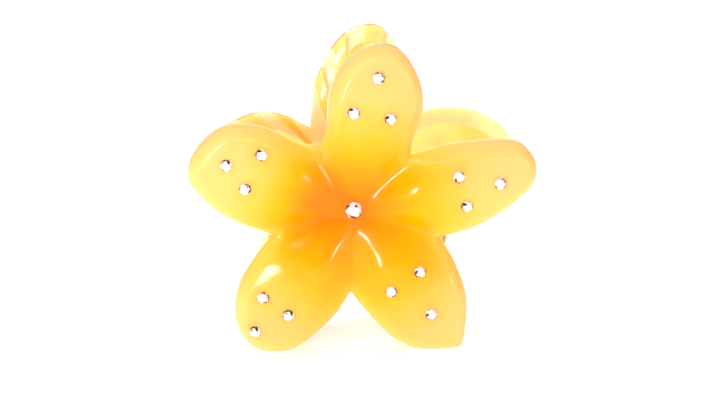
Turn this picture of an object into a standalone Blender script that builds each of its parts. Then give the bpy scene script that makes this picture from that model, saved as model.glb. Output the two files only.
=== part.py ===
"""Flower hair clip: two five-petal jelly-plastic shells on a sprung hinge, set with flat-back stones.

Frame: +X to the wearer's right of the front flower, -Y is the front, +Z up. The clip stands on its
four lower petals at Z = 0. Plate coordinates (u, v, w) belong to one half: u across, v up from the
flower's centre, w outward from the plane of the rim.
"""
import math

import bmesh
import bpy
import numpy as np
from mathutils import Matrix, Vector

MM = 0.001

# Driving dimensions, millimetres and degrees
CENTRE_HEIGHT = 32.3      # flower centre above the ground
CENTRE_ACROSS = -2.1      # the petals reach further to one side of the flower's centre
RIM_TO_MIDDLE = 14.5      # rim plane to the clip's middle plane, at the flower's centre
TILT = 3.0                # each half leans outward towards its levers
REAR_TURN = {"top": -1.5, "left": -5.0, "lower_left": -3.0}    # of the stones on the rear half
HINGE_DROP = 11.0         # hinge axis below the flower's centre
HINGE_ACROSS = 2.0        # middle of the hinge, to the right of the flower's centre
WALL = 2.0
RIM_WIDTH = 1.9           # rim of the two lower petals
UPPER_RIM_WIDTH = 3.8     # rim of the three upper petals
RIM_BROADENS = 0.28       # cosine below the quarter turn over which the rim broadens
ROUNDING = 2.6            # width of the rounded edge of a petal
ROUNDING_DROP = 3.4
DROOP = 0.0055            # petal tips curl back by DROOP * (r - DROOP_FROM)^2
DROOP_FROM = 18.0
THROAT_HEIGHT = 1.4       # the face above the rim plane, at the flower's centre
VALLEY_RISE = 0.08        # rise of the valleys between petals for each millimetre out
VALLEY_TOP = 20.0
CREST_LIFT = 3.6          # a petal's crest above the valleys, gained from radius 2 to 16
LIFT_FROM = 2.0
LIFT_OVER = 14.0
CREST_BREADTH = 1.4       # over 1 broadens the crest
BLOCK_DEPTH = 2.0         # rim blocks, on the rear half's top and left petals
BLOCK_PITCH = 8.5
PIN_RADIUS = 0.8
BORE_RADIUS = 1.1
PIN_HALF_LENGTH = 20.0
PIN_HEAD_RADIUS = 1.5
LUG_RADIUS = 2.8
LUG_WIDTH = 2.8
LUG_ROOT_STEP = 1.1       # spacing of the lug's points along the petals' backs
LUG_ROOT_DEPTH = 0.9      # under the outer face
FRONT_LUG_AT = 14.8
REAR_LUG_AT = 18.0
COIL_RADIUS = 2.5
WIRE_RADIUS = 0.45
COIL_TURNS = 6
COIL_PITCH = 1.5
LEG_TIP = 14.6            # the spring's legs end this far out, 20 above the hinge
STONE_DIAMETER = 2.75
CENTRE_STONE_DIAMETER = 4.0
STONE_GAP = 0.3
SEAT_DEPTH = 0.5
SEAT_SPAN = 1.2           # a stone sits level with the face this far round it
STONE_RAISED = 0.2        # glue under the stone
CUTTER_LENGTH = 4.0       # past the seat, clear of the face

# A stone's rings: radius, height and turn, as shares of its diameter and of a facet
STONE_PROFILE = ((0.46, 0.0, 0.0), (0.5, 0.16, 0.0), (0.37, 0.34, 0.5), (0.22, 0.43, 0.0))

# Petal outlines: angle clockwise from the top seen from the front, and radius, notch to notch
PETALS = {
    "top": [(-29.4, 15.2), (-18, 20), (-11.5, 27.2), (-4, 32.7), (4.6, 36.4), (12, 37.6),
            (19, 36), (28, 31.5), (34, 27), (38.5, 21), (45.5, 17.5)],
    "right": [(45.5, 17.5), (53.5, 23.8), (59.5, 29.4), (64.5, 35.4), (69.5, 40.2), (77, 42),
              (83, 40.2), (90.4, 34.2), (98, 28.6), (103.5, 24.4), (108.9, 20.3)],
    "lower_right": [(108.9, 20.3), (115, 23.6), (121, 27.4), (128.3, 32.6), (137, 37.6),
                    (142.5, 40.8), (146.5, 40.6), (155.5, 36.4), (164, 31.2), (173, 24),
                    (182.1, 19.2)],
    "lower_left": [(182.1, 19.2), (189.4, 24.9), (197.8, 31.4), (203.4, 35.4), (209, 38),
                   (215.8, 38.9), (221, 38.4), (228, 36), (235.5, 31.6), (242, 26.2),
                   (253.6, 18.8)],
    "left": [(253.6, 18.8), (263.5, 25.4), (271, 30.8), (280, 36.7), (286, 38), (292.3, 37.4),
             (300.2, 35.6), (306, 33.2), (313.2, 28), (320.5, 20.4), (330.6, 15.2)],
}
# The rear half: its upper petals lean a little to the left, and its petals are slimmer
REAR_PETALS = {
    "top": [(-32.4, 15.2), (-24, 19), (-17.7, 23.8), (-11, 27.8), (-4.7, 32.2), (1.6, 35.6),
            (8, 37.4), (14, 37.4), (20.8, 34.6), (28, 29), (35.5, 21), (42.5, 17.5)],
    "right": [(42.5, 17.5), (47, 23), (51.5, 27.2), (56, 30.7), (60.5, 33.8), (65, 36.5),
              (70, 39), (75, 40.4), (80, 40.2), (85, 38), (91, 33), (98, 27.4), (108.9, 20.3)],
    "lower_right": PETALS["lower_right"],
    "lower_left": [(182.1, 19.2), (188, 25), (194.5, 31.4), (200.5, 35.8), (206, 38), (211.5, 38.2),
                   (217, 36.8), (222, 33.8), (227, 29.8), (232, 26), (238, 22.2), (250.6, 18.8)],
    "left": [(250.6, 18.8), (261, 25.4), (269, 31), (276, 35.6), (283, 36.2), (289.5, 33.9),
             (296, 30.8), (303, 28.4), (311, 25.3), (318, 21), (327.6, 15.2)],
}
BLOCKED = ("top", "left")    # petals with rim blocks
STONES = {
    "top": [(4.9, 30.7), (-0.5, 23.2), (7.5, 21.8)],
    "left": [(-28.2, 11.8), (-20.5, 14.1), (-24.1, 6.5)],
    "right": [(22.7, 8.5), (32.0, 6.6), (24.6, 1.8)],
    "lower_left": [(-20.4, -18.7), (-14.9, -22.8), (-22.3, -26.9)],
    "lower_right": [(8.1, -17.7), (14.4, -13.3), (17.1, -23.3)],
}
GROUND_BLOCK = (0.12, 0.12, 0.02)    # metres; cuts away all that is below Z = 0
TEETH_LEVEL = -26.5
TOOTH_REACH = 18.0        # from the rim plane, so the teeth cross the middle plane
TOOTH_SAG = 3.5
TOOTH_ROOT = (1.25, 2.6)  # half width and half height
TOOTH_TIP = (0.75, 1.1)
TOOTH_ROOT_DEPTH = 1.0    # under the outer face
FRONT_TEETH = (-23.0, -17.0, -11.0, 11.5, 17.5, 23.0)
REAR_TEETH = (-20.0, -14.0, 14.5, 20.3)


def clear_scene():
    for obj in list(bpy.data.objects):
        bpy.data.objects.remove(obj, do_unlink=True)


def material(name, colour, roughness, metallic=0.0):
    made = bpy.data.materials.new(name)
    made.use_nodes = True
    shader = made.node_tree.nodes["Principled BSDF"]
    shader.inputs["Base Color"].default_value = (*colour, 1.0)
    shader.inputs["Roughness"].default_value = roughness
    shader.inputs["Metallic"].default_value = metallic
    return made


def spline(points, steps):
    """A smooth curve through the points, as an array."""
    pts = [np.array(p, float) for p in points]
    pts = [2 * pts[0] - pts[1]] + pts + [2 * pts[-1] - pts[-2]]
    out = []
    for a, b, c, d in zip(pts, pts[1:], pts[2:], pts[3:]):
        for k in range(steps):
            t = k / steps
            out.append(0.5 * (2 * b + (c - a) * t + (2 * a - 5 * b + 4 * c - d) * t ** 2
                              + (3 * b - a - 3 * c + d) * t ** 3))
    out.append(pts[-2])
    return np.array(out)


def eased(t):
    """0 to 1 with no slope at either end."""
    t = min(max(t, 0.0), 1.0)
    return t * t * (3 - 2 * t)


class Half:
    """One half of the clip: side is -1 for the front and 1 for the rear."""

    def __init__(self, side):
        self.side = side
        petals = REAR_PETALS if side > 0 else PETALS
        self.curves = {}
        for name, points in petals.items():
            flat = [(r * math.sin(math.radians(a)), r * math.cos(math.radians(a)))
                    for a, r in points]
            self.curves[name] = spline(flat, 6)
        ring = np.concatenate([c[:-1] for c in self.curves.values()])
        self.ring = np.concatenate([ring, ring[:1]])
        angles = np.degrees(np.arctan2(ring[:, 0], ring[:, 1])) % 360
        order = np.argsort(angles)
        self.angles = angles[order]
        self.radii = np.hypot(ring[order, 0], ring[order, 1])
        ends = [points[0][0] for points in petals.values()]
        self.notches = np.array(ends + [ends[0] + 360.0])

    def reach(self, angle):
        return np.interp(angle % 360, self.angles, self.radii, period=360)

    def edge_distance(self, u, v):
        """Distance inside the outline; zero outside it."""
        p = np.array([u, v])
        a, b = self.ring[:-1], self.ring[1:]
        along = b - a
        t = np.clip(((p - a) * along).sum(1) / np.maximum((along ** 2).sum(1), 1e-9), 0, 1)
        near = np.sqrt((((a + along * t[:, None]) - p) ** 2).sum(1).min())
        inside = math.hypot(u, v) < self.reach(math.degrees(math.atan2(u, v)))
        return float(near) if inside else 0.0

    def crest(self, u, v):
        """Height of the petal face before its edge is rounded."""
        r = math.hypot(u, v)
        angle = math.degrees(math.atan2(u, v))
        while angle < self.notches[0]:
            angle += 360
        i = min(int(np.searchsorted(self.notches, angle, side="right")) - 1, 4)
        first, last = self.notches[i], self.notches[i + 1]
        x = (2 * angle - first - last) / (last - first)
        valley = THROAT_HEIGHT + VALLEY_RISE * min(r, VALLEY_TOP)
        lift = CREST_LIFT * eased((r - LIFT_FROM) / LIFT_OVER)
        return valley + lift * (1 - eased(abs(x) ** CREST_BREADTH)) + self.rim(r)

    @staticmethod
    def rim(r):
        return -DROOP * max(0.0, r - DROOP_FROM) ** 2

    def outer(self, u, v, d=None):
        d = self.edge_distance(u, v) if d is None else d
        high = self.crest(u, v)
        drop = min(ROUNDING_DROP, 0.7 * (high - self.rim(math.hypot(u, v))))
        t = min(d / ROUNDING, 1.0)
        return high - drop * (1 - math.sqrt(1 - (1 - t) ** 2))

    def world(self, u, v, w):
        """Plate coordinates to world metres."""
        c, s = math.cos(math.radians(TILT)), math.sin(math.radians(TILT))
        out = v * s + w * c + RIM_TO_MIDDLE
        return Vector((u + CENTRE_ACROSS, self.side * out, v * c - w * s + CENTRE_HEIGHT)) * MM

    def plate(self, out, up):
        """(v, w) of a point out from the middle plane and up from the flower's centre."""
        c, s = math.cos(math.radians(TILT)), math.sin(math.radians(TILT))
        return c * up + s * (out - RIM_TO_MIDDLE), -s * up + c * (out - RIM_TO_MIDDLE)

    def columns(self):
        """(angle, reach, block depth) for each radial line of the shell."""
        out = []
        for name, curve in self.curves.items():
            length = np.concatenate([[0], np.cumsum(np.hypot(*np.diff(curve, axis=0).T))])
            count = int(length[-1] // BLOCK_PITCH)
            pitch = length[-1] / count
            marks = []
            for k in range(count):
                start = k * pitch
                if self.side > 0 and name in BLOCKED and k > 0:
                    marks += [(start - 0.15, 0.0), (start + 0.15, 1.0),
                              (start + pitch / 2 - 0.15, 1.0), (start + pitch / 2 + 0.15, 0.0)]
                else:
                    marks += [(start, 0.0), (start + pitch / 2, 0.0)]
            for at, deep in marks:
                u = np.interp(at, length, curve[:, 0])
                v = np.interp(at, length, curve[:, 1])
                out.append((math.atan2(u, v), math.hypot(u, v), deep * BLOCK_DEPTH))
        return out

    @staticmethod
    def rim_width(angle):
        """Broad on the three upper petals, from a quarter turn off the top, narrow on the lower two."""
        share = min(max(1 + math.cos(angle) / RIM_BROADENS, 0.0), 1.0)
        return RIM_WIDTH + (UPPER_RIM_WIDTH - RIM_WIDTH) * share

    def inset(self, angle, reach, depth):
        """Radius on this line at which the outline is depth away."""
        low, high = 0.0, reach
        for _ in range(24):
            mid = (low + high) / 2
            inside = self.edge_distance(mid * math.sin(angle), mid * math.cos(angle)) > depth
            low, high = (mid, high) if inside else (low, mid)
        return low


def new_object(name, mesh, look=None):
    made = bpy.data.objects.new(name, mesh)
    bpy.context.scene.collection.objects.link(made)
    if look:
        mesh.materials.append(look)
    return made


def helper(name, mesh):
    """A cutter or an addition, never a node."""
    made = new_object(name, mesh)
    made.hide_render = True
    made.display_type = "WIRE"
    return made


def finish_mesh(bm, name):
    bmesh.ops.remove_doubles(bm, verts=bm.verts, dist=1e-7)
    bmesh.ops.recalc_face_normals(bm, faces=bm.faces)
    mesh = bpy.data.meshes.new(name)
    bm.to_mesh(mesh)
    bm.free()
    return mesh


def loft(bm, rings, cap_start=True, cap_end=True):
    """Joins rings of points, each with the same count, into a skin."""
    rows = [[bm.verts.new(p) for p in ring] for ring in rings]
    for a, b in zip(rows, rows[1:]):
        for k in range(len(a)):
            bm.faces.new((a[k - 1], a[k], b[k], b[k - 1]))
    if cap_start:
        bm.faces.new(rows[0][::-1])
    if cap_end:
        bm.faces.new(rows[-1])
    return rows


def shell_mesh(half):
    """The petal shell: rounded outer face, rim with blocks, hollow back."""
    bm = bmesh.new()
    columns = half.columns()
    shares = (0.16, 0.36, 0.58, 0.8, 1.0)
    bends = (0.38, 0.7, 0.92, 1.0)
    outer = [[] for _ in range(len(shares) + len(bends))]
    rim_rows = [[], []]
    inner = [[] for _ in shares]
    for angle, reach, deep in columns:
        s, c = math.sin(angle), math.cos(angle)
        core = half.inset(angle, reach, ROUNDING)
        lip = half.inset(angle, reach, half.rim_width(angle))
        for k, share in enumerate(shares):
            r = core * share
            outer[k].append(half.world(r * s, r * c, half.outer(r * s, r * c)))
        for k, bend in enumerate(bends):
            r = core + (reach - core) * bend
            high = half.crest(r * s, r * c)
            drop = min(ROUNDING_DROP, 0.7 * (high - half.rim(r)))
            w = high - drop * (1 - math.sqrt(max(0.0, 1 - bend ** 2)))
            outer[len(shares) + k].append(half.world(r * s, r * c, w))
        foot = half.rim(reach) - deep
        rim_rows[0].append(half.world(reach * s, reach * c, foot))
        rim_rows[1].append(half.world(lip * s, lip * c, foot))
        for k, share in enumerate(shares):
            r = lip * share
            inner[k].append(half.world(r * s, r * c, half.crest(r * s, r * c) - WALL))
    rings = outer + rim_rows + inner[::-1]
    rows = loft(bm, rings, False, False)
    for row, w in ((rows[0], half.crest(0, 0)), (rows[-1], half.crest(0, 0) - WALL)):
        centre = bm.verts.new(half.world(0, 0, w))
        for k in range(len(row)):
            bm.faces.new((row[k - 1], row[k], centre))
    return finish_mesh(bm, "shell")


def lug(bm, half, at):
    """A hinge lug: from under the petals to a rounded end on the hinge axis."""
    v0, w0 = half.plate(0.0, -HINGE_DROP)
    spread = [v0 + HINGE_DROP - LUG_ROOT_STEP * k for k in range(15)]
    rings = []
    for u in (at - LUG_WIDTH / 2, at + LUG_WIDTH / 2):
        ring = [half.world(u, v, half.outer(u, v) - LUG_ROOT_DEPTH) for v in spread]
        for k in range(9):
            a = math.radians(200 + 140 * k / 8)
            ring.append(half.world(u, v0 + LUG_RADIUS * math.cos(a), w0 + LUG_RADIUS * math.sin(a)))
        rings.append(ring)
    loft(bm, rings)


def tooth(bm, half, u):
    """A jaw tooth, curving down from the petal's back across the middle plane."""
    rings = []
    for t in (0.0, 0.3, 0.65, 1.0):
        wide, tall = (a + (b - a) * t for a, b in zip(TOOTH_ROOT, TOOTH_TIP))
        v, w = half.plate(RIM_TO_MIDDLE - TOOTH_REACH * t, TEETH_LEVEL - TOOTH_SAG * t ** 2)
        w = half.outer(u, v) - TOOTH_ROOT_DEPTH if t == 0 else w
        rings.append([half.world(u + a * wide, v + b * tall, w)
                      for a, b in ((-1, -1), (1, -1), (1, 1), (-1, 1))])
    loft(bm, rings)


def seats(half):
    """(node name suffix, u, v, diameter) of every stone on a half."""
    out = [("centre", 0.0, 0.0, CENTRE_STONE_DIAMETER)]
    for petal, places in STONES.items():
        turn = math.radians(REAR_TURN.get(petal, 0.0)) if half.side > 0 else 0.0
        for k, (u, v) in enumerate(places):
            angle, r = math.atan2(u, v) + turn, math.hypot(u, v)
            out.append((f"{petal}_{k + 1}", r * math.sin(angle), r * math.cos(angle), STONE_DIAMETER))
    return out


def seat_frame(half, u, v):
    """A matrix whose Z is the petal's outward normal at (u, v)."""
    steps = ((SEAT_SPAN, 0), (-SEAT_SPAN, 0), (0, SEAT_SPAN), (0, -SEAT_SPAN))
    around = [half.outer(u + a, v + b) for a, b in steps]
    east, west, north, south = (half.world(u + a, v + b, w) for (a, b), w in zip(steps, around))
    normal = (east - west).cross(north - south).normalized()
    if normal.y * half.side < 0:
        normal = -normal
    level = (half.outer(u, v) + sum(around) / len(around)) / 2
    place = half.world(u, v, level)
    return Matrix.Translation(place) @ normal.to_track_quat("Z", "Y").to_matrix().to_4x4()


def disc(bm, frame, radius, low, high, sides):
    rings = []
    for z in (low, high):
        rings.append([frame @ (Vector((radius * math.cos(2 * math.pi * k / sides),
                                       radius * math.sin(2 * math.pi * k / sides), z)) * MM)
                      for k in range(sides)])
    loft(bm, rings)


def x_disc(bm, centre, radius, half_length, sides):
    frame = Matrix.Translation(centre) @ Matrix.Rotation(math.pi / 2, 4, "Y")
    disc(bm, frame, radius, -half_length, half_length, sides)


def additions(half):
    bm = bmesh.new()
    at = FRONT_LUG_AT if half.side < 0 else REAR_LUG_AT
    for u in (HINGE_ACROSS - at, HINGE_ACROSS + at):
        lug(bm, half, u)
    for u in FRONT_TEETH if half.side < 0 else REAR_TEETH:
        tooth(bm, half, u)
    return finish_mesh(bm, "additions")


def cuts(half):
    """Stone seats, hinge bores and the flat that the lower petals stand on."""
    bm = bmesh.new()
    for _, u, v, size in seats(half):
        frame = seat_frame(half, u, v)
        disc(bm, frame, size / 2 + STONE_GAP, -SEAT_DEPTH, CUTTER_LENGTH, 12)
    at = FRONT_LUG_AT if half.side < 0 else REAR_LUG_AT
    for x in (-at, at):
        x_disc(bm, hinge_point() + Vector((x * MM, 0, 0)), BORE_RADIUS, LUG_WIDTH / 2 + 0.5, 16)
    ground = Matrix.Diagonal((*GROUND_BLOCK, 1.0)) @ Matrix.Translation((0, 0, -0.5))
    bmesh.ops.create_cube(bm, size=1.0, matrix=ground)
    return finish_mesh(bm, "cuts")


def hinge_point():
    return Vector((CENTRE_ACROSS + HINGE_ACROSS, 0.0, CENTRE_HEIGHT - HINGE_DROP)) * MM


def boolean(obj, other, operation):
    added = obj.modifiers.new(operation.title(), "BOOLEAN")
    added.solver = "EXACT"
    added.operation = operation
    added.object = other


def move_origin(obj, point):
    obj.data.transform(Matrix.Translation(-point))
    obj.location = point


def flower(name, side, look):
    half = Half(side)
    obj = new_object(name, shell_mesh(half), look)
    for poly in obj.data.polygons:
        poly.use_smooth = True
    move_origin(obj, hinge_point())
    boolean(obj, helper(name + "_additions", additions(half)), "UNION")
    boolean(obj, helper(name + "_cuts", cuts(half)), "DIFFERENCE")
    return half


def stone_mesh(frame, size):
    """Flat back, thin girdle, eight crown facets up to a flat table."""
    bm = bmesh.new()
    rings = []
    for radius, z, turn in STONE_PROFILE:
        rings.append([frame @ (Vector((radius * size * math.cos(math.pi * (k + turn) / 4),
                                       radius * size * math.sin(math.pi * (k + turn) / 4),
                                       z * size - SEAT_DEPTH + STONE_RAISED)) * MM)
                      for k in range(8)])
    loft(bm, rings)
    return finish_mesh(bm, "stone")


def stones(half, prefix, look):
    for suffix, u, v, size in seats(half):
        frame = seat_frame(half, u, v)
        new_object(f"{prefix}_stone_{suffix}", stone_mesh(frame, size), look)


def hinge_pin(look):
    """Straight pin with a head at each end, the second one peened over."""
    bm = bmesh.new()
    frame = Matrix.Translation(hinge_point()) @ Matrix.Rotation(math.pi / 2, 4, "Y")
    end = ((PIN_RADIUS, PIN_HALF_LENGTH), (PIN_HEAD_RADIUS, PIN_HALF_LENGTH),
           (PIN_HEAD_RADIUS, PIN_HALF_LENGTH + 0.5), (PIN_HEAD_RADIUS - 0.3, PIN_HALF_LENGTH + 0.8))
    profile = [(radius, -z) for radius, z in reversed(end)] + list(end)
    rings = []
    for radius, z in profile:
        rings.append([frame @ (Vector((radius * math.cos(math.pi * k / 8),
                                       radius * math.sin(math.pi * k / 8), z)) * MM)
                      for k in range(16)])
    loft(bm, rings)
    obj = new_object("hinge_pin", finish_mesh(bm, "pin"), look)
    move_origin(obj, hinge_point())


def spring_path():
    """Points of the wire from the front leg's tip, round the coil, to the rear leg's tip."""
    span = COIL_TURNS * COIL_PITCH / 2
    coil = []
    steps = COIL_TURNS * 12
    start, sweep = math.radians(180), 2 * math.pi * COIL_TURNS - math.radians(180)
    for k in range(steps + 1):
        a = start + sweep * k / steps
        coil.append((-span + 2 * span * k / steps, COIL_RADIUS * math.cos(a), COIL_RADIUS * math.sin(a)))
    front = [(-span, -LEG_TIP, 20.0), (-span, -LEG_TIP + 0.4, 17.0),
             (-span, -8.0, 9.0), (-span, -COIL_RADIUS - 0.6, 1.8)]
    rear = [(-x, -y, z) for x, y, z in reversed(front)]
    return front + coil + rear


def torsion_spring(look):
    curve = bpy.data.curves.new("torsion_spring", "CURVE")
    curve.dimensions = "3D"
    curve.bevel_depth = WIRE_RADIUS * MM
    curve.bevel_resolution = 2
    curve.use_fill_caps = True
    points = spring_path()
    wire = curve.splines.new("POLY")
    wire.points.add(len(points) - 1)
    for point, (x, y, z) in zip(wire.points, points):
        point.co = (x * MM, y * MM, z * MM, 1.0)
    obj = bpy.data.objects.new("torsion_spring", curve)
    obj.location = hinge_point()
    bpy.context.scene.collection.objects.link(obj)
    curve.materials.append(look)


def build():
    clear_scene()
    plastic = material("jelly_plastic", (1.0, 0.55, 0.08), 0.15)
    crystal = material("crystal", (0.9, 0.92, 0.95), 0.05)
    brass = material("pin_metal", (0.75, 0.55, 0.28), 0.25, 1.0)
    steel = material("spring_steel", (0.72, 0.72, 0.74), 0.25, 1.0)
    front = flower("front_flower", -1, plastic)
    rear = flower("rear_flower", 1, plastic)
    stones(front, "front", crystal)
    stones(rear, "rear", crystal)
    hinge_pin(brass)
    torsion_spring(steel)


build()
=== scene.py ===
"""Looks of the flower hair clip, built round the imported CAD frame.

Lengths are millimetres in the frame's axes unless a comment says metres, and MM turns them into
metres: +X to the right of the front flower, -Y out of it, +Z up. Plate coordinates (u, v, w) belong
to one half: across, up from the flower's centre, outward.
"""
import math

import bmesh
import bpy
import numpy as np
from mathutils import Matrix, Vector


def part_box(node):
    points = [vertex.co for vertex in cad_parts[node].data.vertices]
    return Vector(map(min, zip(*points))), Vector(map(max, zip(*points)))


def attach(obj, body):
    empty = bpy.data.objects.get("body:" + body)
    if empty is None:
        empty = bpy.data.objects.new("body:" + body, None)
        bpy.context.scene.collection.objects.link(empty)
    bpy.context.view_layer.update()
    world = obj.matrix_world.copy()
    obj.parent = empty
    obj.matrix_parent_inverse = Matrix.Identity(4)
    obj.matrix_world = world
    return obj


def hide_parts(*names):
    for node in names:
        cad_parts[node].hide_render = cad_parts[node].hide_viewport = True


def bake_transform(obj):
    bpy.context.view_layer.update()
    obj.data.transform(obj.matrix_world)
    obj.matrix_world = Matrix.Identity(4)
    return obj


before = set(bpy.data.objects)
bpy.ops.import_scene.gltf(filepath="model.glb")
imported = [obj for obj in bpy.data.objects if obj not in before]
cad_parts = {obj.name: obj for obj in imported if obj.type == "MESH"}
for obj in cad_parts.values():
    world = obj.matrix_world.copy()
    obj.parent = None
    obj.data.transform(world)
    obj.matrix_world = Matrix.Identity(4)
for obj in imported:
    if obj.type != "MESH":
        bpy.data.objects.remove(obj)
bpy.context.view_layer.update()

MM = 0.001

# The moulding's driving dimensions, as in the CAD. First where a half's plate stands and leans
CENTRE_HEIGHT = 32.3
CENTRE_ACROSS = -2.1
RIM_TO_MIDDLE = 14.5
TILT = math.radians(3.0)

# The hinge axis, below the flower's centre and to its right
HINGE_DROP = 11.0
HINGE_ACROSS = 2.0

# The wall, the flat rims round the hollow back, and the rounded edge, which drops at most by this
# share of the face's height over the rim
WALL = 2.0
RIM_WIDTH = 1.9
UPPER_RIM_WIDTH = 3.8
RIM_BROADENS = 0.28
ROUNDING = 2.6
ROUNDING_DROP = 3.4
ROUNDING_SHARE = 0.7

# The petals' faces: the droop of the tips, the valleys between petals, and the crests over them
DROOP = 0.0055
DROOP_FROM = 18.0
THROAT_HEIGHT = 1.4
VALLEY_RISE = 0.08
VALLEY_TOP = 20.0
CREST_LIFT = 3.6
LIFT_FROM = 2.0
LIFT_OVER = 14.0
CREST_BREADTH = 1.4

# The blocks round the rims of two of the rear half's petals
BLOCKED = ("top", "left")
BLOCK_DEPTH = 2.0
BLOCK_PITCH = 8.5

# Hinge lugs and jaw teeth, by side: -1 the front half, 1 the rear
LUG_RADIUS = 2.8
LUG_WIDTH = 2.8
LUG_ROOT_STEP = 1.1
LUG_ROOT_STEPS = 15
LUG_ROOT_DEPTH = 0.9
LUG_AT = {-1: 14.8, 1: 18.0}
TEETH_AT = {-1: (-23.0, -17.0, -11.0, 11.5, 17.5, 23.0), 1: (-20.0, -14.0, 14.5, 20.3)}
TEETH_LEVEL = -26.5
TOOTH_REACH = 18.0
TOOTH_SAG = 3.5
TOOTH_ROOT = (1.25, 2.6)
TOOTH_TIP = (0.75, 1.1)
TOOTH_ROOT_DEPTH = 1.0

# The pin, its bore and the spring round it
PIN_RADIUS = 0.8
BORE_RADIUS = 1.1
PIN_HALF_LENGTH = 20.0
PIN_HEAD_RADIUS = 1.5
COIL_RADIUS = 2.5
WIRE_RADIUS = 0.45
COIL_TURNS = 6
COIL_PITCH = 1.5
COIL_HALF_LENGTH = COIL_TURNS * COIL_PITCH / 2
LEG_TIP = 14.6
# The front leg from its tip to the coil: (out from the middle plane, up from the hinge)
LEG = ((-LEG_TIP, 20.0), (-LEG_TIP + 0.4, 17.0), (-8.0, 9.0), (-COIL_RADIUS - 0.6, 1.8))

# The stones and the seats they are sunk into
STONE_DIAMETER = 2.75
CENTRE_STONE_DIAMETER = 4.0
SEAT_DEPTH = 0.3
SEAT_SPAN = 1.2

# Points along each petal's edge: (degrees clockwise from straight up, radius)
PETALS = {
    "top": [(-29.4, 15.2), (-18, 20), (-11.5, 27.2), (-4, 32.7), (4.6, 36.4), (12, 37.6),
            (19, 36), (28, 31.5), (34, 27), (38.5, 21), (45.5, 17.5)],
    "right": [(45.5, 17.5), (53.5, 23.8), (59.5, 29.4), (64.5, 35.4), (69.5, 40.2), (77, 42),
              (83, 40.2), (90.4, 34.2), (98, 28.6), (103.5, 24.4), (108.9, 20.3)],
    "lower_right": [(108.9, 20.3), (115, 23.6), (121, 27.4), (128.3, 32.6), (137, 37.6),
                    (142.5, 40.8), (146.5, 40.6), (155.5, 36.4), (164, 31.2), (173, 24),
                    (182.1, 19.2)],
    "lower_left": [(182.1, 19.2), (189.4, 24.9), (197.8, 31.4), (203.4, 35.4), (209, 38),
                   (215.8, 38.9), (221, 38.4), (228, 36), (235.5, 31.6), (242, 26.2),
                   (253.6, 18.8)],
    "left": [(253.6, 18.8), (263.5, 25.4), (271, 30.8), (280, 36.7), (286, 38), (292.3, 37.4),
             (300.2, 35.6), (306, 33.2), (313.2, 28), (320.5, 20.4), (330.6, 15.2)],
}
# The rear half's upper petals lean further to the left, and its lower left one is slimmer
REAR_PETALS = {
    "top": [(-32.4, 15.2), (-24, 19), (-17.7, 23.8), (-11, 27.8), (-4.7, 32.2), (1.6, 35.6),
            (8, 37.4), (14, 37.4), (20.8, 34.6), (28, 29), (35.5, 21), (42.5, 17.5)],
    "right": [(42.5, 17.5), (47, 23), (51.5, 27.2), (56, 30.7), (60.5, 33.8), (65, 36.5),
              (70, 39), (75, 40.4), (80, 40.2), (85, 38), (91, 33), (98, 27.4), (108.9, 20.3)],
    "lower_right": PETALS["lower_right"],
    "lower_left": [(182.1, 19.2), (188, 25), (194.5, 31.4), (200.5, 35.8), (206, 38), (211.5, 38.2),
                   (217, 36.8), (222, 33.8), (227, 29.8), (232, 26), (238, 22.2), (250.6, 18.8)],
    "left": [(250.6, 18.8), (261, 25.4), (269, 31), (276, 35.6), (283, 36.2), (289.5, 33.9),
             (296, 30.8), (303, 28.4), (311, 25.3), (318, 21), (327.6, 15.2)],
}
# The small stones' places (u, v), and the degrees the rear half's are turned about its centre
STONES = {
    "top": [(4.9, 30.7), (-0.5, 23.2), (7.5, 21.8)],
    "left": [(-28.2, 11.8), (-20.5, 14.1), (-24.1, 6.5)],
    "right": [(22.7, 8.5), (32.0, 6.6), (24.6, 1.8)],
    "lower_left": [(-20.4, -18.7), (-14.9, -22.8), (-22.3, -26.9)],
    "lower_right": [(8.1, -17.7), (14.4, -13.3), (17.1, -23.3)],
}
REAR_TURN = {"top": -1.5, "left": -5.0, "lower_left": -3.0}

# How finely the shell is drawn: spacing of its columns, first row's share of the way out from the
# centre on the face and on the back, and rows over each face and over the rounded edge
COLUMN_SPACING = 0.9
FACE_FROM = 0.04
BACK_TO = 0.05
FACE_ROWS = 30
EDGE_FROM = 8.0
EDGE_ROWS = 11
# The soft corners of the flat rims, and the steep sides of the rim blocks
CORNER = 0.35
CORNER_BEND = 0.3 * CORNER
STEP_CLEARANCE = 0.25
STEP_HALF_WIDTH = 0.12

# Finer detail of the lugs (the arc of their eyes in degrees), teeth, bore, pin and wire
LUG_EYE = (200, 340)
LUG_BEVEL = 0.3
TOOTH_SECTIONS = 12
TOOTH_SQUARENESS = 0.7
TOOTH_FILL = 0.94
TOOTH_BEVEL = 0.25
BEVEL_SEGMENTS = 3
BORE_OVERRUN = 5
PIN_CHAMFER = 0.1
PIN_HEAD_SIDE = 0.35
PIN_DOME_HEIGHT = 0.45
WIRE_STEPS_A_TURN = 24

# A stone's rings from its base up, in diameters: (radius, height, turn in eighths)
STONE_RINGS = ((0.48, 0.0, 0.5), (0.5, 0.15, 0.5), (0.42, 0.28, 0.0), (0.28, 0.42, 0.5))
STONE_SEED = 7
# Material slots of the stones' painted reflections, grey and dark
GREY_REFLECTION, DARK_REFLECTION = 1, 2

# The dye: how far it reaches, how much sooner it fades upwards than downwards (the other way round
# in the throat), and the deeper well of it on the left petal
DYE_REACH = 42.0
DYE_LIFT = 0.11
DYE_SINK = -0.15
DYE_LIFT_OVER = 20.0
DYE_WELL = 6.5
WELL_TOWARDS = (-0.985, 0.174)
WELL_POWER = 3
WELL_OVER = 8.0
WELL_FROM = 12.0
WELL_FADE = 10.0
# The distance from the edge that the edge mark counts as 1, and the distance given to the back
EDGE_SCALE = 6.0
INSIDE_EDGE = 6.0
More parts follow.
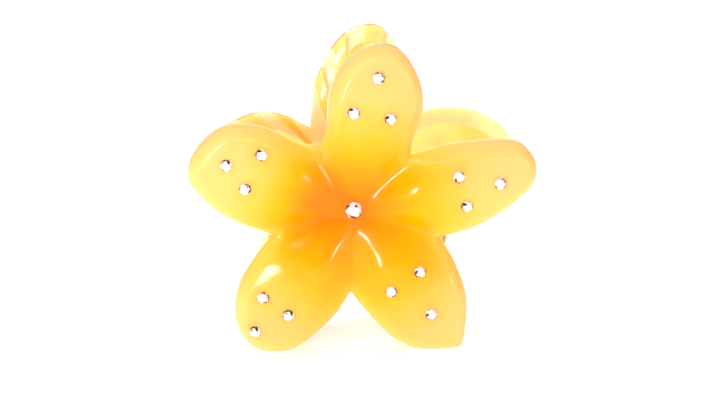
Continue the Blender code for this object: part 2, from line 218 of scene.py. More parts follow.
# The windows between blocks, with painted light shining through the thin rim there, and the pale
# inner face, partly painted light, with the dye that its blocks keep
WINDOW_REACH = 5.5
WINDOW_FADE = 1.5
RIM_WINDOW = 0.8
RIM_INSIDE = 0.9
PALE_FROM = 4.0
PALE_OVER = 9.0
PALE_MOST = 0.95
BLOCK_DYE = 0.85
# Marks on the lugs and the teeth
LUG_REACH, LUG_INSIDE = 0.70, 0.4
TOOTH_DYE_REACH, TOOTH_INSIDE = 0.88, 0.5

# The plastic's colours, in display values from 0 to 255, the share of each over its mark, and its
# surface with lengths in metres
DYE_STOPS = (
    (0.06, (255, 116, 0)),
    (0.15, (255, 129, 0)),
    (0.24, (255, 141, 0)),
    (0.34, (255, 152, 0)),
    (0.46, (255, 162, 34)),
    (0.58, (255, 170, 74)),
    (0.70, (255, 175, 98)),
    (0.88, (255, 178, 112)),
)
# Painted light: a paler yellow band along the petals' rounded edges, lifting the shade that falls
# there
EDGE_LIGHT_COLOUR = (255, 205, 112)
EDGE_LIGHT_SHARE = ((0.0, 0.30), (0.20, 0.20), (0.50, 0.0), (1.0, 0.0))
# Painted shade: a deeper orange line where the face bends into the rounded edge
EDGE_SHADE_COLOUR = (255, 180, 60)
EDGE_SHADE_SHARE = ((0.26, 0.0), (0.40, 0.08), (0.46, 0.08), (0.70, 0.0))
# The inner faces' pale tone: partly the plastic's undyed inside, partly painted light lifting the
# shade in the hollow back
INSIDE_UNDYED_AND_LIGHT_COLOUR = (255, 233, 174)
# Painted light: the cream glow of light through the thin rim between blocks
WINDOW_GLOW_COLOUR = (253, 218, 184)
JELLY_SURFACE = {
    "Subsurface Weight": 0.9,
    "Subsurface Radius": (1.0, 0.7, 0.35),
    "Subsurface Scale": 0.008,
    "IOR": 1.45,
    "Specular IOR Level": 0.16,
    "Coat Weight": 0.07,
    "Coat Roughness": 0.05,
}
# Grain of the plastic: noise scales are in waves to the metre
MOTTLE_SCALE, MOTTLE_SPREAD = 90.0, 0.14
WORN_SCALE, WORN_DETAIL = 420.0, 4.0
WORN_ROUGHNESS = ((0.3, 0.12), (0.75, 0.22))
BUMP_SCALE = 160.0
BUMP = {"Strength": 0.05, "Distance": 0.0006}

# Foil tones, the grey and dark ones painted reflections: (name, colour, roughness, metallic)
FOILS = (
    ("foil_bright", (0.74, 0.75, 0.77), 0.35, 0.25),
    ("foil_grey_reflection", (0.42, 0.38, 0.33), 0.2, 0.7),
    ("foil_dark_reflection", (0.10, 0.06, 0.03), 0.15, 0.7),
)
FOIL_SCALE, FOIL_DETAIL, FOIL_DARKER = 1400.0, 1.0, 0.86
FOIL_STOPS = (0.35, 0.6)
FOIL_COAT = {"Coat Weight": 0.8, "Coat Roughness": 0.02}

# Metals: (name, colour, lowest roughness, highest, scale of the drawn lines)
BRASS = ("pin_brass", (0.92, 0.70, 0.30), 0.22, 0.36, 900.0)
STEEL = ("spring_wire", (0.72, 0.72, 0.74), 0.28, 0.38, 260.0)
DRAWN_STRETCH = (0.06, 1.0, 1.0)
DRAWN_DETAIL, DRAWN_DARKER = 3.0, 0.8
DRAWN_ROUGH_STOPS = (0.3, 0.7)
DRAWN_COLOUR_STOPS = (0.35, 0.6)

# The floor, in metres
FLOOR_HALF = 1.5
FLOOR_DROP = 0.0002
FLOOR_SCALE = 40.0
FLOOR_TONES = ((0.3, 0.86), (0.7, 0.88))
FLOOR_SURFACE = {
    "Roughness": 0.9,
    "Specular IOR Level": 0.1,
    "Emission Color": (1.0, 1.0, 1.0, 1.0),
    "Emission Strength": 0.45,
}

# The world's light, and how bright it looks behind the floor
WORLD_LIGHT = 0.36
BACKDROP = 0.95

# Area lights, in metres: (name, place, aimed at, width and height, watts, mirrored in the gloss)
MIDDLE = (0.0, 0.0, CENTRE_HEIGHT * MM)
LIGHTS = (
    ("key", (-0.25, -0.40, 0.55), MIDDLE, (0.20, 0.20), 0.9, True),
    ("low", (0.0, -0.75, 0.04), (0.0, 0.0, 0.02), (0.6, 0.06), 1.4, False),
    ("strip_left", (-0.257, -0.464, 0.08), MIDDLE, (0.05, 0.15), 1.9, True),
    ("strip_right", (0.42, -0.36, 0.045), MIDDLE, (0.03, 0.08), 0.45, True),
    ("back", (0.10, 0.45, 0.45), MIDDLE, (0.35, 0.25), 2.4, False),
    ("overhead", (0.0, 0.25, 0.80), (0.0, 0.20, 0.0), (0.9, 0.9), 3.2, False),
)

# The camera, as the clip was seen. It looks at the flower's centre, and its clip is in metres
CAMERA_AZIMUTH = math.radians(-4.0)
CAMERA_ELEVATION = math.radians(13.0)
CAMERA_DISTANCE = 420.0
CAMERA_LENS = 91.1
CAMERA_SENSOR = 36.0
CAMERA_SHIFT = (0.0153, -0.0125)
CAMERA_CLIP = 0.01

BODY = {-1: "front_half", 1: "rear_half"}
PREFIX = {-1: "front", 1: "rear"}
HINGE = Vector((CENTRE_ACROSS + HINGE_ACROSS, 0.0, CENTRE_HEIGHT - HINGE_DROP)) * MM


# ---------------------------------------------------------------- node helpers

def new_material(name):
    made = bpy.data.materials.new(name)
    made.use_nodes = True
    return made, made.node_tree.nodes, made.node_tree.links, made.node_tree.nodes["Principled BSDF"]


def set_inputs(node, values):
    for name, value in values.items():
        node.inputs[name].default_value = value


def math_node(nodes, links, operation, a, b):
    node = nodes.new("ShaderNodeMath")
    node.operation = operation
    for socket, value in zip(node.inputs, (a, b)):
        if isinstance(value, (int, float)):
            socket.default_value = value
        else:
            links.new(value, socket)
    return node.outputs[0]


def ramp(nodes, links, factor, stops):
    node = nodes.new("ShaderNodeValToRGB")
    elements = node.color_ramp.elements
    while len(elements) < len(stops):
        elements.new(0.5)
    for element, (at, colour) in zip(elements, stops):
        element.position = at
        element.color = (*colour, 1.0)
    links.new(factor, node.inputs[0])
    return node.outputs[0]


def grey_ramp(nodes, links, factor, stops):
    return ramp(nodes, links, factor, [(at, (level,) * 3) for at, level in stops])


def mix(nodes, links, factor, a, b):
    node = nodes.new("ShaderNodeMix")
    node.data_type = "RGBA"
    links.new(factor, node.inputs["Factor"])
    links.new(a, node.inputs["A"])
    node.inputs["B"].default_value = (*b, 1.0)
    return node.outputs["Result"]


def noise(nodes, links, vector, scale, detail=2.0):
    node = nodes.new("ShaderNodeTexNoise")
    node.inputs["Scale"].default_value = scale
    node.inputs["Detail"].default_value = detail
    links.new(vector, node.inputs["Vector"])
    return node.outputs["Fac"]


def attribute(nodes, name):
    node = nodes.new("ShaderNodeAttribute")
    node.attribute_name = name
    return node.outputs["Fac"]


def linear(r, g, b):
    """A colour given in 0 to 255 display values, as linear light."""
    def one(c):
        c = c / 255.0
        return c / 12.92 if c <= 0.04045 else ((c + 0.055) / 1.055) ** 2.4
    return one(r), one(g), one(b)


# ------------------------------------------------------------------- materials

def jelly_material():
    """Translucent glossy plastic, deep orange in the throat to pale yellow at the petals' tips."""
    made, nodes, links, shader = new_material("jelly_plastic")
    where = nodes.new("ShaderNodeTexCoord").outputs["Object"]
    mottle = math_node(nodes, links, "SUBTRACT", noise(nodes, links, where, MOTTLE_SCALE), 0.5)
    spread = math_node(nodes, links, "MULTIPLY", mottle, MOTTLE_SPREAD)
    reach = math_node(nodes, links, "ADD", attribute(nodes, "reach"), spread)
    dye = ramp(nodes, links, reach, [(at, linear(*shown)) for at, shown in DYE_STOPS])
    # Painted light: the rounded edges are paled towards yellow
    edge = grey_ramp(nodes, links, attribute(nodes, "edge"), EDGE_LIGHT_SHARE)
    colour = mix(nodes, links, edge, dye, linear(*EDGE_LIGHT_COLOUR))
    # Painted shade: a deeper orange line along the bend into the rounded edge
    edge_shade = grey_ramp(nodes, links, attribute(nodes, "edge"), EDGE_SHADE_SHARE)
    colour = mix(nodes, links, edge_shade, colour, linear(*EDGE_SHADE_COLOUR))
    # The inner faces are paled: partly the undyed plastic, partly painted light lifting the hollow
    # back's shade
    colour = mix(nodes, links, attribute(nodes, "inside"), colour, linear(*INSIDE_UNDYED_AND_LIGHT_COLOUR))
    # Painted light: the thin rim between blocks glows cream as if lit through
    colour = mix(nodes, links, attribute(nodes, "window"), colour, linear(*WINDOW_GLOW_COLOUR))
    links.new(colour, shader.inputs["Base Color"])
    set_inputs(shader, JELLY_SURFACE)
    worn = noise(nodes, links, where, WORN_SCALE, WORN_DETAIL)
    links.new(grey_ramp(nodes, links, worn, WORN_ROUGHNESS), shader.inputs["Roughness"])
    bump = nodes.new("ShaderNodeBump")
    set_inputs(bump, BUMP)
    links.new(noise(nodes, links, where, BUMP_SCALE), bump.inputs["Height"])
    links.new(bump.outputs[0], shader.inputs["Normal"])
    return made


def two_tone(nodes, links, factor, colour, darker, stops):
    """The colour where the factor is high and a darker one where it is low."""
    dark = tuple(c * darker for c in colour)
    return ramp(nodes, links, factor, [(stops[0], dark), (stops[1], colour)])


def foil_material(name, colour, roughness, metallic):
    """One tone of a foil-backed stone's facets; the grey and dark tones are painted reflections."""
    made, nodes, links, shader = new_material(name)
    where = nodes.new("ShaderNodeTexCoord").outputs["Object"]
    tone = noise(nodes, links, where, FOIL_SCALE, FOIL_DETAIL)
    links.new(two_tone(nodes, links, tone, colour, FOIL_DARKER, FOIL_STOPS),
              shader.inputs["Base Color"])
    set_inputs(shader, {"Metallic": metallic, "Roughness": roughness, **FOIL_COAT})
    return made


def metal_material(name, colour, rough_low, rough_high, grain):
    """Drawn metal with fine lines along its length."""
    made, nodes, links, shader = new_material(name)
    where = nodes.new("ShaderNodeTexCoord").outputs["Object"]
    stretch = nodes.new("ShaderNodeMapping")
    stretch.inputs["Scale"].default_value = DRAWN_STRETCH
    links.new(where, stretch.inputs["Vector"])
    lines = noise(nodes, links, stretch.outputs[0], grain, DRAWN_DETAIL)
    rough = grey_ramp(nodes, links, lines, zip(DRAWN_ROUGH_STOPS, (rough_low, rough_high)))
    links.new(rough, shader.inputs["Roughness"])
    links.new(two_tone(nodes, links, lines, colour, DRAWN_DARKER, DRAWN_COLOUR_STOPS),
              shader.inputs["Base Color"])
    shader.inputs["Metallic"].default_value = 1.0
    return made


# ------------------------------------------------------------------ the petals

def spline(points, steps):
    """A smooth curve through the points."""
    pts = [np.array(p, float) for p in points]
    pts = [2 * pts[0] - pts[1]] + pts + [2 * pts[-1] - pts[-2]]
    out = []
    for a, b, c, d in zip(pts, pts[1:], pts[2:], pts[3:]):
        for k in range(steps):
            t = k / steps
            out.append(0.5 * (2 * b + (c - a) * t + (2 * a - 5 * b + 4 * c - d) * t ** 2
                              + (3 * b - a - 3 * c + d) * t ** 3))
    out.append(pts[-2])
    return np.array(out)


def eased(t):
    """0 to 1 with no slope at either end."""
    t = np.clip(t, 0.0, 1.0)
    return t * t * (3 - 2 * t)


class Half:
    """The shape of one half; side is -1 for the front and 1 for the rear."""

    def __init__(self, side):
        self.side = side
        petals = REAR_PETALS if side > 0 else PETALS
        self.curves = {}
        for name, points in petals.items():
            angles = np.radians([a for a, _ in points])
            radii = np.array([r for _, r in points])
            edge = np.stack([radii * np.sin(angles), radii * np.cos(angles)], 1)
            self.curves[name] = spline(edge, 6)
        ring = np.concatenate([c[:-1] for c in self.curves.values()])
        self.ring = np.concatenate([ring, ring[:1]])
        around = np.degrees(np.arctan2(ring[:, 0], ring[:, 1])) % 360
        order = np.argsort(around)
        self.angles, self.radii = around[order], np.hypot(*ring[order].T)
        first = [points[0][0] for points in petals.values()]
        self.notches = np.array(first + [first[0] + 360.0])

    def edge_distance(self, p):
        """Distance inside the outline for each point, zero outside it."""
        a, along = self.ring[:-1], np.diff(self.ring, axis=0)
        length = np.maximum((along ** 2).sum(1), 1e-9)
        out = np.empty(len(p))
        for k in range(0, len(p), 2000):
            q = p[k:k + 2000, None, :]
            t = np.clip(((q - a) * along).sum(2) / length, 0, 1)
            out[k:k + 2000] = np.sqrt((((a + along * t[..., None]) - q) ** 2).sum(2).min(1))
        angle = np.degrees(np.arctan2(p[:, 0], p[:, 1])) % 360
        inside = np.hypot(*p.T) < np.interp(angle, self.angles, self.radii, period=360)
        return np.where(inside, out, 0.0)

    def across(self, p):
        """-1 to 1 from one valley to the next over each petal."""
        angle = np.degrees(np.arctan2(p[:, 0], p[:, 1]))
        angle = np.where(angle < self.notches[0], angle + 360, angle)
        i = np.clip(np.searchsorted(self.notches, angle, side="right") - 1, 0, 4)
        first, last = self.notches[i], self.notches[i + 1]
        return (2 * angle - first - last) / (last - first)

    def crest(self, p):
        """Height of the petal face before its edge is rounded."""
        r = np.hypot(*p.T)
        valley = THROAT_HEIGHT + VALLEY_RISE * np.minimum(r, VALLEY_TOP)
        lift = CREST_LIFT * eased((r - LIFT_FROM) / LIFT_OVER)
        return valley + lift * (1 - eased(np.abs(self.across(p)) ** CREST_BREADTH)) + self.rim(r)

    @staticmethod
    def rim(r):
        return -DROOP * np.maximum(0.0, r - DROOP_FROM) ** 2

    @staticmethod
    def rim_width(direction):
        """Broad on the three upper petals, narrow on the lower two."""
        share = np.clip(1 + direction[:, 1] / RIM_BROADENS, 0, 1)
        return RIM_WIDTH + (UPPER_RIM_WIDTH - RIM_WIDTH) * share

    def edge_drop(self, high, r):
        """How far the rounded edge falls below a face of this height."""
        return np.minimum(ROUNDING_DROP, ROUNDING_SHARE * (high - self.rim(r)))

    def outer(self, p):
        """Height of the finished outer face."""
        d = self.edge_distance(p)
        high = self.crest(p)
        drop = self.edge_drop(high, np.hypot(*p.T))
        return high - drop * (1 - np.sqrt(1 - (1 - np.minimum(d / ROUNDING, 1)) ** 2))

    def world(self, p, w):
        """Plate coordinates as points of the frame, in metres."""
        out = p[:, 1] * math.sin(TILT) + w * math.cos(TILT) + RIM_TO_MIDDLE
        up = p[:, 1] * math.cos(TILT) - w * math.sin(TILT) + CENTRE_HEIGHT
        return np.stack([p[:, 0] + CENTRE_ACROSS, self.side * out, up], 1) * MM

    def plate(self, out, up):
        """(v, w) of a point out from the middle plane and up from the flower's centre."""
        c, s = math.cos(TILT), math.sin(TILT)
        return c * up + s * (out - RIM_TO_MIDDLE), -s * up + c * (out - RIM_TO_MIDDLE)

    def inset(self, direction, reach, depth):
        """Radius along each direction at which the outline is depth away."""
        low, high = np.zeros(len(reach)), reach.copy()
        for _ in range(22):
            mid = (low + high) / 2
            inside = self.edge_distance(direction * mid[:, None]) > depth
            low, high = np.where(inside, mid, low), np.where(inside, high, mid)
        return low

    def columns(self, spacing):
        """Radial lines of the shell: (unit direction, reach, block depth, thin between blocks)."""
        points, deep, clear = [], [], []
        for name, curve in self.curves.items():
            length = np.concatenate([[0], np.cumsum(np.hypot(*np.diff(curve, axis=0).T))])
            blocks = length[-1] // BLOCK_PITCH
            pitch = length[-1] / blocks
            marks = list(np.arange(0, length[-1] - spacing / 2, spacing))
            edges = []
            if self.side > 0 and name in BLOCKED:
                edges = [k * pitch / 2 for k in range(2, 2 * int(blocks))]
                marks = [m for m in marks if all(abs(m - e) > STEP_CLEARANCE for e in edges)]
                marks += [e + s for e in edges for s in (-STEP_HALF_WIDTH, STEP_HALF_WIDTH)]
            for m in sorted(marks):
                points.append([np.interp(m, length, curve[:, k]) for k in (0, 1)])
                on_block = edges and m > pitch and (m / (pitch / 2)) % 2 < 1
                deep.append(BLOCK_DEPTH if on_block else 0.0)
                clear.append(float(bool(edges) and deep[-1] == 0.0))
        points = np.array(points)
        reach = np.hypot(*points.T)
        return points / reach[:, None], reach, np.array(deep), np.array(clear)


def grid_mesh(name, rows, closed_ends):
    """A skin over rows of points, each a closed loop, with a point closing each end."""
    count = len(rows[0])
    verts = np.concatenate(rows + [np.array(closed_ends)])
    faces = []
    for k in range(len(rows) - 1):
        for j in range(count):
            i = (j + 1) % count
            faces.append((k * count + j, (k + 1) * count + j, (k + 1) * count + i, k * count + i))
    top, bottom = len(rows) * count, len(rows) * count + 1
    last = (len(rows) - 1) * count
    for j in range(count):
        i = (j + 1) % count
        faces.append((top, j, i))
        faces.append((bottom, last + i, last + j))
    mesh = bpy.data.meshes.new(name)
    mesh.from_pydata([tuple(v) for v in verts], [], faces)
    bm = bmesh.new()
    bm.from_mesh(mesh)
    bmesh.ops.recalc_face_normals(bm, faces=bm.faces)
    bm.to_mesh(mesh)
    bm.free()
    return mesh


def mark(mesh, name, values):
    layer = mesh.attributes.new(name, "FLOAT", "POINT")
    layer.data.foreach_set("value", np.asarray(values, np.float32))


def shell(half, look):
    """The petal shell with its rounded edge, rim blocks and hollow back."""
    spacing = COLUMN_SPACING
    direction, reach, deep, clear = half.columns(spacing)
    core = half.inset(direction, reach, ROUNDING)
    lip = half.inset(direction, reach, half.rim_width(direction))
    rows, radii, edges, windows, insides = [], [], [], [], []

    def add(r, w, edge, window, inside=0.0, dyed=0.0):
        rows.append(half.world(direction * r[:, None], w))
        radii.append(r)
        edges.append(edge)
        windows.append(window)
        # The inner faces' paleness, partly painted light, grows from the throat outwards and is
        # weaker on the blocks
        pale = np.clip((r - PALE_FROM) / PALE_OVER, 0, PALE_MOST)
        insides.append(pale * inside * (1 - BLOCK_DYE * dyed * deep / BLOCK_DEPTH))

    nothing = np.zeros(len(reach))
    for share in np.linspace(FACE_FROM, 1.0, FACE_ROWS):
        p = direction * (core * share)[:, None]
        add(core * share, half.outer(p), half.edge_distance(p), nothing)
    for bend in np.sin(np.radians(np.linspace(EDGE_FROM, 90, EDGE_ROWS))):
        r = core + (reach - core) * bend
        p = direction * r[:, None]
        high = half.crest(p)
        drop = half.edge_drop(high, r)
        add(r, high - drop * (1 - np.sqrt(max(0.0, 1 - bend ** 2))), half.edge_distance(p), nothing)
    foot = half.rim(reach) - deep
    for r, w in ((reach, foot + CORNER),
                 (reach - CORNER_BEND, foot + CORNER_BEND),
                 (reach - CORNER, foot),
                 (lip + CORNER, foot),
                 (lip + CORNER_BEND, foot + CORNER_BEND),
                 (lip, foot + CORNER)):
        add(r, w, nothing, RIM_WINDOW * clear, RIM_INSIDE, 1.0)
    for share in np.linspace(1.0, BACK_TO, FACE_ROWS):
        r = lip * share
        p = direction * r[:, None]
        # The glow painted on the windows fades in over the inner face near the rim
        fade = np.clip((WINDOW_REACH - (reach - r)) / WINDOW_FADE, 0, 1)
        add(r, half.crest(p) - WALL, nothing + INSIDE_EDGE, clear * fade, 1.0, fade)
    ends = half.world(np.zeros((2, 2)), np.array([THROAT_HEIGHT, THROAT_HEIGHT - WALL]))
    for row in rows:
        keep_inside(row, half.side)
    mesh = grid_mesh(f"{PREFIX[half.side]}_shell", rows, ends)
    r = np.concatenate(radii + [np.zeros(2)])
    u = np.concatenate([np.tile(direction[:, 0], len(rows)), np.zeros(2)]) * r
    v = np.concatenate([np.tile(direction[:, 1], len(rows)), np.zeros(2)]) * r
    mark(mesh, "reach", dye_reach(u, v))
    mark(mesh, "edge", np.concatenate(edges + [np.full(2, ROUNDING * 2)]) / EDGE_SCALE)
    mark(mesh, "window", np.concatenate(windows + [np.zeros(2)]))
    mark(mesh, "inside", np.concatenate(insides + [np.zeros(2)]))
    return add_piece(mesh, look, half.side, math.radians(38))


def dye_reach(u, v):
    """How far out the dye has faded, 0 in the throat to 1 at the tips."""
    r = np.hypot(u, v)
    lift = v * (DYE_SINK + (DYE_LIFT - DYE_SINK) * eased(r / DYE_LIFT_OVER))
    left = np.maximum(0.0, u * WELL_TOWARDS[0] + v * WELL_TOWARDS[1]) / np.maximum(r, 0.001)
    fade = 1 - eased((r - WELL_FROM) / WELL_FADE)
    well = DYE_WELL * left ** WELL_POWER * eased(r / WELL_OVER) * fade
    return (r + lift - well) / DYE_REACH


def keep_inside(points, side):
    """Holds the finer surface inside the CAD piece's box, and flat where it stands on the floor."""
    low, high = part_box(f"{PREFIX[side]}_flower")
    np.clip(points, low, high, out=points)


def add_object(data, name=None):
    obj = bpy.data.objects.new(name or data.name, data)
    bpy.context.scene.collection.objects.link(obj)
    return obj


def smooth(mesh):
    for poly in mesh.polygons:
        poly.use_smooth = True


def add_piece(mesh, look, side, sharp):
    """A smooth piece that rides with its half, with its edges kept over the sharp angle."""
    obj = add_object(mesh, mesh.name.replace("_bored", ""))
    mesh.materials.append(look)
    smooth(mesh)
    mesh.set_sharp_from_angle(angle=sharp)
    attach(obj, BODY[side])
    return obj


# ------------------------------------------------------- lugs, teeth, hardware

def loft(bm, rings):
    rows = [[bm.verts.new(p) for p in ring] for ring in rings]
    for a, b in zip(rows, rows[1:]):
        for k in range(len(a)):
            bm.faces.new((a[k - 1], a[k], b[k], b[k - 1]))
    bm.faces.new(rows[0][::-1])
    bm.faces.new(rows[-1])


def to_mesh(bm, name):
    bmesh.ops.recalc_face_normals(bm, faces=bm.faces)
    mesh = bpy.data.meshes.new(name)
    bm.to_mesh(mesh)
    bm.free()
    return mesh


def bevel(obj, width):
    made = obj.modifiers.new("Bevel", "BEVEL")
    made.width = width * MM
    made.segments = BEVEL_SEGMENTS
    made.limit_method = "ANGLE"
    made.angle_limit = math.radians(40)


def round_bar(profile, turn):
    """Rings round the hinge axis for a profile of (radius, distance along it)."""
    return [[HINGE + Vector((x, r * math.cos(a), r * math.sin(a))) * MM for a in turn]
            for r, x in profile]


def bored(mesh):
    """The mesh with the pin's bore cut through it along the hinge."""
    bm = bmesh.new()
    end = PIN_HALF_LENGTH + BORE_OVERRUN
    loft(bm, round_bar([(BORE_RADIUS, -end), (BORE_RADIUS, end)],
                       np.radians(np.arange(0, 360, 10))))
    cutter = add_object(to_mesh(bm, "bore"))
    whole = add_object(mesh, "whole")
    cut = whole.modifiers.new("Bore", "BOOLEAN")
    cut.operation, cut.solver, cut.object = "DIFFERENCE", "EXACT", cutter
    graph = bpy.context.evaluated_depsgraph_get()
    made = bpy.data.meshes.new_from_object(whole.evaluated_get(graph))
    made.name = mesh.name + "_bored"
    for obj in (cutter, whole):
        bpy.data.objects.remove(obj, do_unlink=True)
    return made


def mark_all(mesh, reach, inside):
    """One dye reach and one paleness over a whole mesh."""
    mark(mesh, "reach", np.full(len(mesh.vertices), reach))
    mark(mesh, "inside", np.full(len(mesh.vertices), inside))


def lugs(half, look):
    """Two hinge lugs, each from under the petals to a rounded eye on the hinge axis."""
    bm = bmesh.new()
    v0, w0 = half.plate(0.0, -HINGE_DROP)
    spread = v0 + HINGE_DROP - LUG_ROOT_STEP * np.arange(LUG_ROOT_STEPS)
    for at in (HINGE_ACROSS - LUG_AT[half.side], HINGE_ACROSS + LUG_AT[half.side]):
        rings = []
        for u in (at - LUG_WIDTH / 2, at + LUG_WIDTH / 2):
            p = np.stack([np.full(len(spread), u), spread], 1)
            eye = np.radians(np.linspace(*LUG_EYE, 25))
            q = np.stack([np.full(len(eye), u), v0 + LUG_RADIUS * np.cos(eye)], 1)
            rings.append(np.concatenate([half.world(p, half.outer(p) - LUG_ROOT_DEPTH),
                                         half.world(q, w0 + LUG_RADIUS * np.sin(eye))]))
        loft(bm, rings)
    mesh = bored(to_mesh(bm, f"{PREFIX[half.side]}_hinge_lugs"))
    mark_all(mesh, LUG_REACH, LUG_INSIDE)
    obj = add_piece(mesh, look, half.side, math.radians(30))
    bevel(obj, LUG_BEVEL)
    return obj


def teeth(half, look):
    """Tapered jaw teeth, each curving down from a petal's back across the middle plane."""
    bm = bmesh.new()
    corner = np.radians(np.arange(0, 360, 30) + 15)
    square = np.maximum(np.abs(np.cos(corner)), np.abs(np.sin(corner))) ** -TOOTH_SQUARENESS
    for u in TEETH_AT[half.side]:
        rings = []
        for t in np.linspace(0, 1, TOOTH_SECTIONS):
            wide, tall = (a + (b - a) * t for a, b in zip(TOOTH_ROOT, TOOTH_TIP))
            v, w = half.plate(RIM_TO_MIDDLE - TOOTH_REACH * t, TEETH_LEVEL - TOOTH_SAG * t ** 2)
            if t == 0:
                w = float(half.outer(np.array([[u, v]]))[0]) - TOOTH_ROOT_DEPTH
            p = np.stack([u + wide * TOOTH_FILL * square * np.cos(corner),
                          v + tall * TOOTH_FILL * square * np.sin(corner)], 1)
            rings.append(half.world(p, np.full(len(p), w)))
        loft(bm, rings)
    mesh = to_mesh(bm, f"{PREFIX[half.side]}_jaw_teeth")
    mark_all(mesh, TOOTH_DYE_REACH, TOOTH_INSIDE)
    obj = add_piece(mesh, look, half.side, math.radians(50))
    bevel(obj, TOOTH_BEVEL)
    return obj


def seats(half):
    """(stone name, place, diameter) of every stone on a half."""
    out = [("centre", (0.0, 0.0), CENTRE_STONE_DIAMETER)]
    for petal, places in STONES.items():
        turn = math.radians(REAR_TURN.get(petal, 0.0)) if half.side > 0 else 0.0
        for k, (u, v) in enumerate(places):
            angle, r = math.atan2(u, v) + turn, math.hypot(u, v)
            place = (r * math.sin(angle), r * math.cos(angle))
            out.append((f"{petal}_{k + 1}", place, STONE_DIAMETER))
    return out


def seat_frame(half, place):
    """A matrix at the petal's surface whose Z is its outward normal."""
    u, v = place
    step = SEAT_SPAN
    p = np.array([(u + step, v), (u - step, v), (u, v + step), (u, v - step), (u, v)])
    high = half.outer(p)
    spots = half.world(p, high)
    normal = Vector(np.cross(spots[0] - spots[1], spots[2] - spots[3])).normalized()
    if normal.y * half.side < 0:
        normal = -normal
    # Half the height of the middle and half the mean of the four spots round it
    level = half.world(p[4:], np.array([0.5 * high[4] + 0.125 * high[:4].sum()]))[0]
    return Matrix.Translation(Vector(level)) @ normal.to_track_quat("Z", "Y").to_matrix().to_4x4()


def stone(half, suffix, place, size, looks, rng):
    """A foil-backed stone: eight crown facets and eight girdle kites round a broad table."""
    matrix = seat_frame(half, place) @ Matrix.Rotation(rng.uniform(0, math.pi / 4), 4, "Z")
    bm = bmesh.new()

    def ring(radius, height, turn):
        return [bm.verts.new(matrix @ (Vector((radius * size * math.cos(math.pi * (k + turn) / 4),
                                               radius * size * math.sin(math.pi * (k + turn) / 4),
                                               height * size - SEAT_DEPTH)) * MM))
                for k in range(8)]

    base, girdle, middle, table = (ring(*values) for values in STONE_RINGS)
    bm.faces.new(base[::-1])
    tops = [bm.faces.new(table)]
    around = []
    for k in range(8):
        after = (k + 1) % 8
        around.append([bm.faces.new((base[k], base[after], girdle[after], girdle[k])),
                       bm.faces.new((girdle[k], middle[after], middle[k])),
                       bm.faces.new((girdle[k], girdle[after], middle[after]))])
        tops.append(bm.faces.new((middle[k], middle[after], table[k])))
        tops.append(bm.faces.new((table[k - 1], middle[k], table[k])))
    # A few facets get the dark and grey tones, painted reflections of something dark
    dark = int(rng.integers(8))
    for k in (dark, (dark + 1) % 8, (dark + int(rng.integers(3, 6))) % 8):
        for face in around[k]:
            face.material_index = DARK_REFLECTION
    for face in (tops[1 + 2 * dark], tops[2 + 2 * dark]):
        face.material_index = DARK_REFLECTION
    for face in (around[(dark + 2) % 8][1], around[(dark + 6) % 8][2],
                 tops[1 + (2 * dark + 5) % 16]):
        face.material_index = GREY_REFLECTION
    # The centre stone gets three more dark facets, painted reflections too
    if size > STONE_DIAMETER:
        for face in (tops[4], tops[9], tops[12]):
            face.material_index = DARK_REFLECTION
    mesh = to_mesh(bm, f"{PREFIX[half.side]}_crystal_{suffix}")
    for look in looks:
        mesh.materials.append(look)
    obj = add_object(mesh)
    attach(obj, BODY[half.side])
    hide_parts(f"{PREFIX[half.side]}_stone_{suffix}")


def hinge_pin(look):
    """A straight pin with a domed head at each end."""
    head, end = PIN_HEAD_RADIUS, PIN_HALF_LENGTH
    dome = [(head * math.cos(a), end + PIN_HEAD_SIDE + PIN_DOME_HEIGHT * math.sin(a))
            for a in np.radians(np.linspace(0, 84, 9))]
    side = [(PIN_RADIUS, end), (head - PIN_CHAMFER, end), (head, end + PIN_CHAMFER)] + dome
    profile = [(r, -x) for r, x in reversed(side)] + side
    bm = bmesh.new()
    loft(bm, round_bar(profile, np.radians(np.arange(0, 360, 7.5))))
    obj = add_piece(to_mesh(bm, "pin"), look, 1, math.radians(35))
    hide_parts("hinge_pin")


def spring_path():
    """The wire from the front leg's tip, round the coil, to the rear leg's tip."""
    span = COIL_HALF_LENGTH
    steps = COIL_TURNS * WIRE_STEPS_A_TURN
    sweep = 2 * math.pi * COIL_TURNS - math.pi
    coil = []
    for k in range(steps + 1):
        a = math.pi + sweep * k / steps
        coil.append((-span + 2 * span * k / steps,
                     COIL_RADIUS * math.cos(a), COIL_RADIUS * math.sin(a)))
    leg = [(-span, out, up) for out, up in LEG]
    return leg + coil + [(-x, -y, z) for x, y, z in reversed(leg)]


def torsion_spring(look):
    """A round wire swept along the path, across the hinge."""
    path = spline(spring_path(), 3)
    tangent = np.gradient(path, axis=0)
    tangent /= np.linalg.norm(tangent, axis=1)[:, None]
    bm = bmesh.new()
    turn = np.radians(np.arange(0, 360, 30))
    side = np.array([1.0, 0.0, 0.0])
    rings = []
    for point, along in zip(path, tangent):
        side = side - along * side.dot(along)
        side /= np.linalg.norm(side)
        other = np.cross(along, side)
        ring = [WIRE_RADIUS * (side * math.cos(a) + other * math.sin(a)) for a in turn]
        rings.append([HINGE + Vector(point + away) * MM for away in ring])
    loft(bm, rings)
    mesh = to_mesh(bm, "spring")
    obj = add_object(mesh)
    mesh.materials.append(look)
    smooth(mesh)
    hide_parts("torsion_spring")
    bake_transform(obj)


# ------------------------------------------------------------------- the stage

def floor():
    mesh = bpy.data.meshes.new("floor")
    half = FLOOR_HALF
    mesh.from_pydata([(-half, -half, 0), (half, -half, 0), (half, half, 0), (-half, half, 0)], [],
                     [(0, 1, 2, 3)])
    made, nodes, links, shader = new_material("floor")
    where = nodes.new("ShaderNodeTexCoord").outputs["Object"]
    grain = noise(nodes, links, where, FLOOR_SCALE)
    links.new(grey_ramp(nodes, links, grain, FLOOR_TONES), shader.inputs["Base Color"])
    set_inputs(shader, FLOOR_SURFACE)
    mesh.materials.append(made)
    obj = add_object(mesh)
    obj.location.z = -FLOOR_DROP


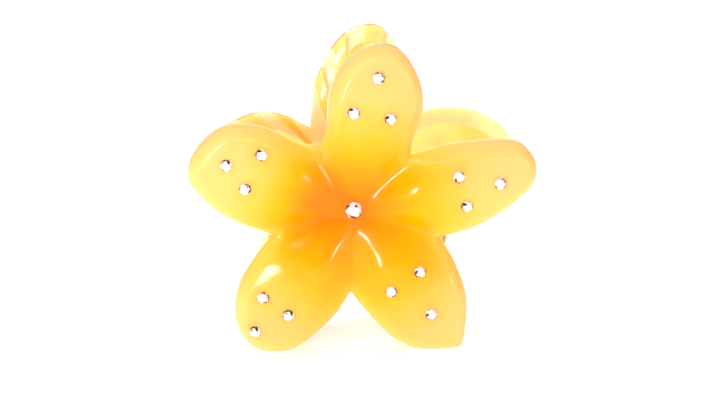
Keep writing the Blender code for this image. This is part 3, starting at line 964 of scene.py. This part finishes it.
def area_light(name, place, target, size, power, mirrored):
    light = bpy.data.lights.new(name, "AREA")
    light.shape = "RECTANGLE"
    light.size, light.size_y = size
    light.energy = power
    obj = add_object(light)
    obj.location = Vector(place)
    obj.rotation_euler = (Vector(target) - obj.location).to_track_quat("-Z", "Y").to_euler()
    obj.visible_glossy = mirrored


def studio():
    world = bpy.data.worlds.new("studio")
    world.use_nodes = True
    world.node_tree.nodes["Background"].inputs["Color"].default_value = (1.0, 1.0, 1.0, 1.0)
    nodes, links = world.node_tree.nodes, world.node_tree.links
    seen = nodes.new("ShaderNodeLightPath").outputs["Is Camera Ray"]
    strength = math_node(nodes, links, "MULTIPLY", seen, BACKDROP - WORLD_LIGHT)
    links.new(math_node(nodes, links, "ADD", strength, WORLD_LIGHT),
              nodes["Background"].inputs["Strength"])
    bpy.context.scene.world = world
    for values in LIGHTS:
        area_light(*values)
    bpy.context.scene.view_settings.view_transform = "Standard"


def camera():
    lens = bpy.data.cameras.new("camera")
    lens.lens = CAMERA_LENS
    lens.sensor_width = CAMERA_SENSOR
    lens.shift_x, lens.shift_y = CAMERA_SHIFT
    lens.clip_start = CAMERA_CLIP
    obj = add_object(lens)
    level = math.cos(CAMERA_ELEVATION)
    back = Vector((math.sin(CAMERA_AZIMUTH) * level, -math.cos(CAMERA_AZIMUTH) * level,
                   math.sin(CAMERA_ELEVATION)))
    centre = Vector((CENTRE_ACROSS, 0.0, CENTRE_HEIGHT))
    obj.location = (centre + CAMERA_DISTANCE * back) * MM
    obj.rotation_euler = back.to_track_quat("Z", "Y").to_euler()
    bpy.context.scene.camera = obj


def build():
    camera()
    studio()
    floor()
    jelly = jelly_material()
    foils = [foil_material(*values) for values in FOILS]
    rng = np.random.default_rng(STONE_SEED)
    for side in (-1, 1):
        half = Half(side)
        petals = shell(half, jelly)
        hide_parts(f"{PREFIX[side]}_flower")
        for obj in (lugs(half, jelly), teeth(half, jelly)):
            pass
        for suffix, place, size in seats(half):
            stone(half, suffix, place, size, foils, rng)
    hinge_pin(metal_material(*BRASS))
    torsion_spring(metal_material(*STEEL))


build()
